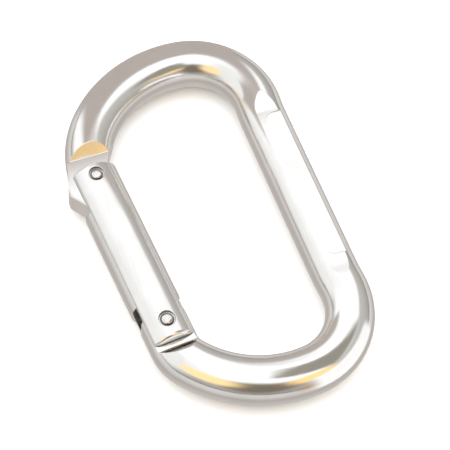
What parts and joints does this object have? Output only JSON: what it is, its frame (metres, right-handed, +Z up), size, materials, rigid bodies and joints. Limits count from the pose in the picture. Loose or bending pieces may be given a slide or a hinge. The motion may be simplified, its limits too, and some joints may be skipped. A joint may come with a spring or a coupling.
{
  "type": "oval carabiner",
  "caption": "Oval aluminium carabiner with a straight sprung gate that swings inward on a rivet, and a spine flattened on both faces.",
  "frame": {"origin": "bottom centre of the whole, on the surface that it lies on", "axes": "+Y along the spine toward the nose, +X from the gate toward the spine, +Z up"},
  "size_m": [0.0608, 0.1042, 0.0126],
  "materials": {
    "body_aluminium": "satin polished",
    "gate_aluminium": "satin polished",
    "pin_steel": "polished",
    "plunger_brass": "turned",
    "spring_steel": "drawn wire"
  },
  "bodies": {
    "frame": {"body": "body_aluminium"},
    "gate": {"gate": "gate_aluminium", "hinge_rivet": "pin_steel", "latch_pin": "pin_steel", "return_spring": "spring_steel"},
    "plunger": {"plunger": "plunger_brass"}
  },
  "joints": [
    {"name": "gate_hinge", "type": "hinge", "parent": "frame", "child": "gate", "pos_m": [-0.02, -0.0248, 0.0063], "axis": [0, 0, -1], "range_deg": [0, 25], "stiffness_Nm_per_rad": 0.25, "springref_deg": -28.65},
    {"name": "plunger_slide", "type": "slide", "parent": "gate", "child": "plunger", "axis": [-0.0653, 0.9979, 0], "range_m": [0, 0.00138], "deforming": ["return_spring"]}
  ],
  "couplings": [
    {"joint": "plunger_slide", "follows": "gate_hinge", "m_per_rad": 0.0031072}
  ]
}
